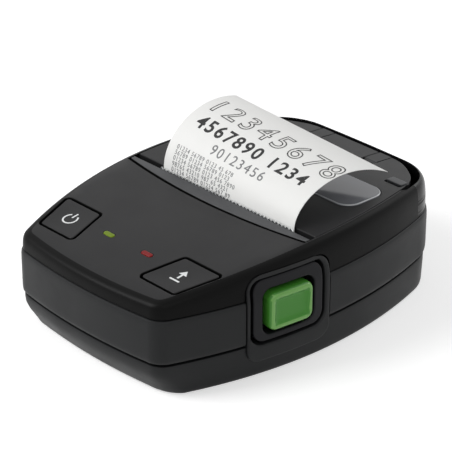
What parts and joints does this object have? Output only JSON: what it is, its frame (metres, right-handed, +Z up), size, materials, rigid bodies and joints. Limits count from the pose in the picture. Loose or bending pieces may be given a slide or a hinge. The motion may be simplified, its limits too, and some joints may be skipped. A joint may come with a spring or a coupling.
{
  "type": "mobile printer",
  "caption": "Hand-held thermal receipt printer with a hinged paper lid, side release button, front keys and a curled receipt in its slot.",
  "frame": {"origin": "centre of the flat underside, on the plane the printer stands on", "axes": "+X across the paper towards the release button, +Y towards the rear lid hinge, +Z up"},
  "size_m": [0.0876, 0.119, 0.0533],
  "materials": {
    "shell": "satin",
    "cover": "satin",
    "grey_plastic": "satin",
    "black_gloss": "gloss",
    "frame_plastic": "matte",
    "steel": "brushed",
    "heat_sink": "satin",
    "brass": "satin",
    "circuit_board": "satin",
    "battery": "matte",
    "rubber": "matte",
    "gear_plastic": "satin",
    "ceramic": "gloss",
    "lamp_green": "gloss",
    "lamp_red": "gloss",
    "window": "gloss",
    "paper": "matte",
    "card": "matte",
    "green": "gloss"
  },
  "bodies": {
    "case": {"lower_shell": "shell", "bumper_band": "shell", "upper_housing": "cover", "rear_trim": "black_gloss", "slot_strip": "grey_plastic", "tear_blade": "steel", "chassis": "frame_plastic", "idler_pin": "steel", "feed_motor": "steel", "print_head": "ceramic", "heat_sink": "heat_sink", "head_spring": "steel", "release_bezel": "black_gloss", "power_switch": "frame_plastic", "feed_switch": "frame_plastic", "lamp_green": "lamp_green", "lamp_red": "lamp_red", "key_board": "circuit_board", "main_board": "circuit_board", "battery_pack": "battery", "usb_connector": "steel", "paper_sensor": "frame_plastic", "screw_front_left": "steel", "screw_front_right": "steel", "screw_rear_left": "steel", "screw_rear_right": "steel", "hinge_pin": "steel"},
    "lid_body": {"lid": "cover", "lid_window": "window", "hinge_cap_left": "grey_plastic", "hinge_cap_right": "grey_plastic", "platen_bush_left": "brass", "platen_bush_right": "brass", "receipt": "paper"},
    "platen": {"platen_shaft": "steel", "platen_roller": "rubber", "platen_gear": "gear_plastic"},
    "idler": {"idler_gear": "gear_plastic"},
    "pinion": {"motor_pinion": "brass"},
    "latch": {"latch_shaft": "steel", "latch_hook_left": "frame_plastic", "latch_hook_right": "frame_plastic"},
    "release": {"release_button": "green", "release_spring": "steel"},
    "power_key": {"power_button": "cover"},
    "feed_key": {"feed_button": "cover"},
    "roll": {"paper_roll": "paper", "roll_core": "card"},
    "door": {"battery_door": "shell"},
    "port_flap": {"port_cover": "rubber"}
  },
  "joints": [
    {"name": "lid_hinge", "type": "hinge", "parent": "case", "child": "lid_body", "pos_m": [0, 0.04911, 0.03374], "axis": [-1, 0, 0], "range_deg": [0, 82]},
    {"name": "platen_spin", "type": "hinge", "parent": "lid_body", "child": "platen", "pos_m": [0, 0.00154, 0.02853], "axis": [1, 0, 0], "continuous": true},
    {"name": "idler_spin", "type": "hinge", "parent": "case", "child": "idler", "pos_m": [-0.0326, -0.00211, 0.01657], "axis": [1, 0, 0], "continuous": true},
    {"name": "pinion_spin", "type": "hinge", "parent": "case", "child": "pinion", "pos_m": [-0.0326, -0.01061, 0.0104], "axis": [1, 0, 0], "continuous": true},
    {"name": "release_press", "type": "slide", "parent": "case", "child": "release", "axis": [-1, 0, 0], "range_m": [0, 0.0016], "stiffness_N_per_m": 900},
    {"name": "latch_turn", "type": "hinge", "parent": "case", "child": "latch", "pos_m": [0, -0.00816, 0.02403], "axis": [1, 0, 0], "range_deg": [0, 13.5]},
    {"name": "power_press", "type": "slide", "parent": "case", "child": "power_key", "axis": [0, 0, -1], "range_m": [0, 0.0006], "stiffness_N_per_m": 700},
    {"name": "feed_press", "type": "slide", "parent": "case", "child": "feed_key", "axis": [0, 0, -1], "range_m": [0, 0.0006], "stiffness_N_per_m": 700},
    {"name": "roll_spin", "type": "hinge", "parent": "case", "child": "roll", "pos_m": [0.0022, 0.02275, 0.01817], "axis": [1, 0, 0], "continuous": true},
    {"name": "door_hinge", "type": "hinge", "parent": "case", "child": "door", "pos_m": [0, -0.04411, 0], "axis": [-1, 0, 0], "range_deg": [0, 95]},
    {"name": "flap_hinge", "type": "hinge", "parent": "case", "child": "port_flap", "pos_m": [-0.04244, -0.01276, 0.0176], "axis": [0, 0, -1], "range_deg": [0, 100]}
  ],
  "couplings": [
    {"joint": "idler_spin", "follows": "platen_spin", "ratio": -0.66667},
    {"joint": "pinion_spin", "follows": "platen_spin", "ratio": 1.6667},
    {"joint": "latch_turn", "follows": "release_press", "rad_per_m": 130}
  ]
}
